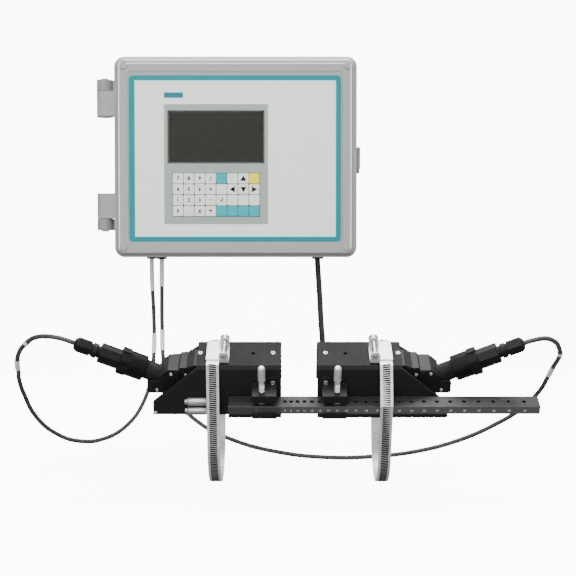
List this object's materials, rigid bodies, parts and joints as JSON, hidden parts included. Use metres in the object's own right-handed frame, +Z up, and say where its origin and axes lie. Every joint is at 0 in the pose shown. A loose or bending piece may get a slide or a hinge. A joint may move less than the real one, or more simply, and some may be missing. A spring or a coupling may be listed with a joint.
{
  "type": "ultrasonic flow meter",
  "caption": "Clamp-on ultrasonic flow meter: wall transmitter with display and keypad, two strapped sensors on a graduated spacer bar.",
  "frame": {"origin": "centre of the four wall holes, on the enclosure's back face", "axes": "+X along the pipe to the right, +Y into the wall, +Z up; the front faces -Y"},
  "size_m": [0.6242, 0.3614, 0.4931],
  "materials": {
    "enclosure": "fine satin, light grey",
    "door": "fine satin, light grey",
    "pins": "turned stainless",
    "gasket": "matt black",
    "latch": "pressed stainless",
    "panel": "printed film, light grey with a teal border",
    "window": "clear pane over a grey-green display",
    "display_board": "green circuit board",
    "main_board": "green circuit board with its parts",
    "gland": "moulded black",
    "frame": "black, fine cast grain",
    "sensor": "dark grey moulded block",
    "bar": "dark anodised, numbers engraved white",
    "clamp_screw": "turned, knurled head",
    "strap": "stainless band",
    "strap_screw": "slotted stainless screw",
    "plug": "dark grey moulded plug",
    "coupling_ring": "ribbed black ring",
    "sensor_cable": "grey-black jacket, white marker sleeves",
    "power_cable": "black jacket",
    "key_white": "moulded near-white key",
    "key_teal": "moulded teal key",
    "key_yellow": "moulded yellow key"
  },
  "bodies": {
    "root": {"enclosure_box": "enclosure", "hinge_pins": "pins", "main_board": "main_board", "cable_glands": "gland", "left_frame": "frame", "left_sensor": "sensor", "left_plug": "plug", "left_strap": "strap", "spacer_bar": "bar", "sensor_cables": "sensor_cable", "power_cable": "power_cable", "power_coil": "power_cable"},
    "door": {"enclosure_door": "door", "door_gasket": "gasket", "front_panel": "panel", "display_window": "window", "display_board": "display_board"},
    "latch": {"door_latch": "latch"},
    "right_frame_unit": {"right_frame": "frame", "right_sensor": "sensor", "right_plug": "plug", "right_strap": "strap"},
    "left_clamp_screw_unit": {"left_clamp_screw": "clamp_screw"},
    "left_strap_screw_unit": {"left_strap_screw": "strap_screw"},
    "left_ring_unit": {"left_coupling_ring": "coupling_ring"},
    "right_clamp_screw_unit": {"right_clamp_screw": "clamp_screw"},
    "right_strap_screw_unit": {"right_strap_screw": "strap_screw"},
    "right_ring_unit": {"right_coupling_ring": "coupling_ring"},
    "key_1_1": {"key_1_1": "key_white"},
    "key_1_2": {"key_1_2": "key_white"},
    "key_1_3": {"key_1_3": "key_white"},
    "key_1_4": {"key_1_4": "key_white"},
    "key_1_5": {"key_1_5": "key_teal"},
    "key_1_6": {"key_1_6": "key_white"},
    "key_1_7": {"key_1_7": "key_white"},
    "key_1_8": {"key_1_8": "key_yellow"},
    "key_2_1": {"key_2_1": "key_white"},
    "key_2_2": {"key_2_2": "key_white"},
    "key_2_3": {"key_2_3": "key_white"},
    "key_2_4": {"key_2_4": "key_white"},
    "key_2_5": {"key_2_5": "key_white"},
    "key_2_6": {"key_2_6": "key_white"},
    "key_2_7": {"key_2_7": "key_white"},
    "key_2_8": {"key_2_8": "key_white"},
    "key_3_1": {"key_3_1": "key_white"},
    "key_3_2": {"key_3_2": "key_white"},
    "key_3_3": {"key_3_3": "key_white"},
    "key_3_4": {"key_3_4": "key_white"},
    "key_3_5": {"key_3_5": "key_white"},
    "key_3_6": {"key_3_6": "key_white"},
    "key_3_7": {"key_3_7": "key_white"},
    "key_3_8": {"key_3_8": "key_white"},
    "key_4_1": {"key_4_1": "key_white"},
    "key_4_2": {"key_4_2": "key_white"},
    "key_4_3": {"key_4_3": "key_white"},
    "key_4_4": {"key_4_4": "key_white"},
    "key_4_5": {"key_4_5": "key_teal"},
    "key_4_6": {"key_4_6": "key_teal"},
    "key_4_7": {"key_4_7": "key_teal"},
    "key_4_8": {"key_4_8": "key_teal"}
  },
  "joints": [
    {"name": "door_hinge", "type": "hinge", "parent": "root", "child": "door", "pos_m": [-0.163, -0.131, 0.005], "axis": [0, 0, -1], "range_deg": [0, 150]},
    {"name": "latch_hinge", "type": "hinge", "parent": "root", "child": "latch", "pos_m": [0.1493, -0.119, 0], "axis": [0, 0, 1], "range_deg": [0, 90]},
    {"name": "right_frame_slide", "type": "slide", "parent": "root", "child": "right_frame_unit", "axis": [1, 0, 0], "range_m": [-0.03, 0.06], "deforming": ["sensor_cables"]},
    {"name": "left_clamp_screw_turn", "type": "hinge", "parent": "root", "child": "left_clamp_screw_unit", "pos_m": [0.0353, -0.34529, -0.25485], "axis": [0, -0.5, 0.866], "continuous": true},
    {"name": "left_strap_screw_turn", "type": "hinge", "parent": "root", "child": "left_strap_screw_unit", "pos_m": [-0.0053, -0.32212, -0.21579], "axis": [0, 0.866, 0.5], "continuous": true},
    {"name": "left_ring_turn", "type": "hinge", "parent": "root", "child": "left_ring_unit", "pos_m": [-0.072, -0.30325, -0.24848], "axis": [-0.9078, -0.2097, 0.3633], "continuous": true},
    {"name": "right_clamp_screw_turn", "type": "hinge", "parent": "right_frame_unit", "child": "right_clamp_screw_unit", "pos_m": [0.1151, -0.34529, -0.25485], "axis": [0, -0.5, 0.866], "continuous": true},
    {"name": "right_strap_screw_turn", "type": "hinge", "parent": "right_frame_unit", "child": "right_strap_screw_unit", "pos_m": [0.1557, -0.32212, -0.21579], "axis": [0, 0.866, 0.5], "continuous": true},
    {"name": "right_ring_turn", "type": "hinge", "parent": "right_frame_unit", "child": "right_ring_unit", "pos_m": [0.2224, -0.30325, -0.24848], "axis": [0.9078, -0.2097, 0.3633], "continuous": true},
    {"name": "key_1_1_press", "type": "slide", "parent": "door", "child": "key_1_1", "axis": [0, 1, 0], "range_m": [0, 0.0006], "stiffness_N_per_m": 400, "springref_m": -0.001},
    {"name": "key_1_2_press", "type": "slide", "parent": "door", "child": "key_1_2", "axis": [0, 1, 0], "range_m": [0, 0.0006], "stiffness_N_per_m": 400, "springref_m": -0.001},
    {"name": "key_1_3_press", "type": "slide", "parent": "door", "child": "key_1_3", "axis": [0, 1, 0], "range_m": [0, 0.0006], "stiffness_N_per_m": 400, "springref_m": -0.001},
    {"name": "key_1_4_press", "type": "slide", "parent": "door", "child": "key_1_4", "axis": [0, 1, 0], "range_m": [0, 0.0006], "stiffness_N_per_m": 400, "springref_m": -0.001},
    {"name": "key_1_5_press", "type": "slide", "parent": "door", "child": "key_1_5", "axis": [0, 1, 0], "range_m": [0, 0.0006], "stiffness_N_per_m": 400, "springref_m": -0.001},
    {"name": "key_1_6_press", "type": "slide", "parent": "door", "child": "key_1_6", "axis": [0, 1, 0], "range_m": [0, 0.0006], "stiffness_N_per_m": 400, "springref_m": -0.001},
    {"name": "key_1_7_press", "type": "slide", "parent": "door", "child": "key_1_7", "axis": [0, 1, 0], "range_m": [0, 0.0006], "stiffness_N_per_m": 400, "springref_m": -0.001},
    {"name": "key_1_8_press", "type": "slide", "parent": "door", "child": "key_1_8", "axis": [0, 1, 0], "range_m": [0, 0.0006], "stiffness_N_per_m": 400, "springref_m": -0.001},
    {"name": "key_2_1_press", "type": "slide", "parent": "door", "child": "key_2_1", "axis": [0, 1, 0], "range_m": [0, 0.0006], "stiffness_N_per_m": 400, "springref_m": -0.001},
    {"name": "key_2_2_press", "type": "slide", "parent": "door", "child": "key_2_2", "axis": [0, 1, 0], "range_m": [0, 0.0006], "stiffness_N_per_m": 400, "springref_m": -0.001},
    {"name": "key_2_3_press", "type": "slide", "parent": "door", "child": "key_2_3", "axis": [0, 1, 0], "range_m": [0, 0.0006], "stiffness_N_per_m": 400, "springref_m": -0.001},
    {"name": "key_2_4_press", "type": "slide", "parent": "door", "child": "key_2_4", "axis": [0, 1, 0], "range_m": [0, 0.0006], "stiffness_N_per_m": 400, "springref_m": -0.001},
    {"name": "key_2_5_press", "type": "slide", "parent": "door", "child": "key_2_5", "axis": [0, 1, 0], "range_m": [0, 0.0006], "stiffness_N_per_m": 400, "springref_m": -0.001},
    {"name": "key_2_6_press", "type": "slide", "parent": "door", "child": "key_2_6", "axis": [0, 1, 0], "range_m": [0, 0.0006], "stiffness_N_per_m": 400, "springref_m": -0.001},
    {"name": "key_2_7_press", "type": "slide", "parent": "door", "child": "key_2_7", "axis": [0, 1, 0], "range_m": [0, 0.0006], "stiffness_N_per_m": 400, "springref_m": -0.001},
    {"name": "key_2_8_press", "type": "slide", "parent": "door", "child": "key_2_8", "axis": [0, 1, 0], "range_m": [0, 0.0006], "stiffness_N_per_m": 400, "springref_m": -0.001},
    {"name": "key_3_1_press", "type": "slide", "parent": "door", "child": "key_3_1", "axis": [0, 1, 0], "range_m": [0, 0.0006], "stiffness_N_per_m": 400, "springref_m": -0.001},
    {"name": "key_3_2_press", "type": "slide", "parent": "door", "child": "key_3_2", "axis": [0, 1, 0], "range_m": [0, 0.0006], "stiffness_N_per_m": 400, "springref_m": -0.001},
    {"name": "key_3_3_press", "type": "slide", "parent": "door", "child": "key_3_3", "axis": [0, 1, 0], "range_m": [0, 0.0006], "stiffness_N_per_m": 400, "springref_m": -0.001},
    {"name": "key_3_4_press", "type": "slide", "parent": "door", "child": "key_3_4", "axis": [0, 1, 0], "range_m": [0, 0.0006], "stiffness_N_per_m": 400, "springref_m": -0.001},
    {"name": "key_3_5_press", "type": "slide", "parent": "door", "child": "key_3_5", "axis": [0, 1, 0], "range_m": [0, 0.0006], "stiffness_N_per_m": 400, "springref_m": -0.001},
    {"name": "key_3_6_press", "type": "slide", "parent": "door", "child": "key_3_6", "axis": [0, 1, 0], "range_m": [0, 0.0006], "stiffness_N_per_m": 400, "springref_m": -0.001},
    {"name": "key_3_7_press", "type": "slide", "parent": "door", "child": "key_3_7", "axis": [0, 1, 0], "range_m": [0, 0.0006], "stiffness_N_per_m": 400, "springref_m": -0.001},
    {"name": "key_3_8_press", "type": "slide", "parent": "door", "child": "key_3_8", "axis": [0, 1, 0], "range_m": [0, 0.0006], "stiffness_N_per_m": 400, "springref_m": -0.001},
    {"name": "key_4_1_press", "type": "slide", "parent": "door", "child": "key_4_1", "axis": [0, 1, 0], "range_m": [0, 0.0006], "stiffness_N_per_m": 400, "springref_m": -0.001},
    {"name": "key_4_2_press", "type": "slide", "parent": "door", "child": "key_4_2", "axis": [0, 1, 0], "range_m": [0, 0.0006], "stiffness_N_per_m": 400, "springref_m": -0.001},
    {"name": "key_4_3_press", "type": "slide", "parent": "door", "child": "key_4_3", "axis": [0, 1, 0], "range_m": [0, 0.0006], "stiffness_N_per_m": 400, "springref_m": -0.001},
    {"name": "key_4_4_press", "type": "slide", "parent": "door", "child": "key_4_4", "axis": [0, 1, 0], "range_m": [0, 0.0006], "stiffness_N_per_m": 400, "springref_m": -0.001},
    {"name": "key_4_5_press", "type": "slide", "parent": "door", "child": "key_4_5", "axis": [0, 1, 0], "range_m": [0, 0.0006], "stiffness_N_per_m": 400, "springref_m": -0.001},
    {"name": "key_4_6_press", "type": "slide", "parent": "door", "child": "key_4_6", "axis": [0, 1, 0], "range_m": [0, 0.0006], "stiffness_N_per_m": 400, "springref_m": -0.001},
    {"name": "key_4_7_press", "type": "slide", "parent": "door", "child": "key_4_7", "axis": [0, 1, 0], "range_m": [0, 0.0006], "stiffness_N_per_m": 400, "springref_m": -0.001},
    {"name": "key_4_8_press", "type": "slide", "parent": "door", "child": "key_4_8", "axis": [0, 1, 0], "range_m": [0, 0.0006], "stiffness_N_per_m": 400, "springref_m": -0.001}
  ]
}
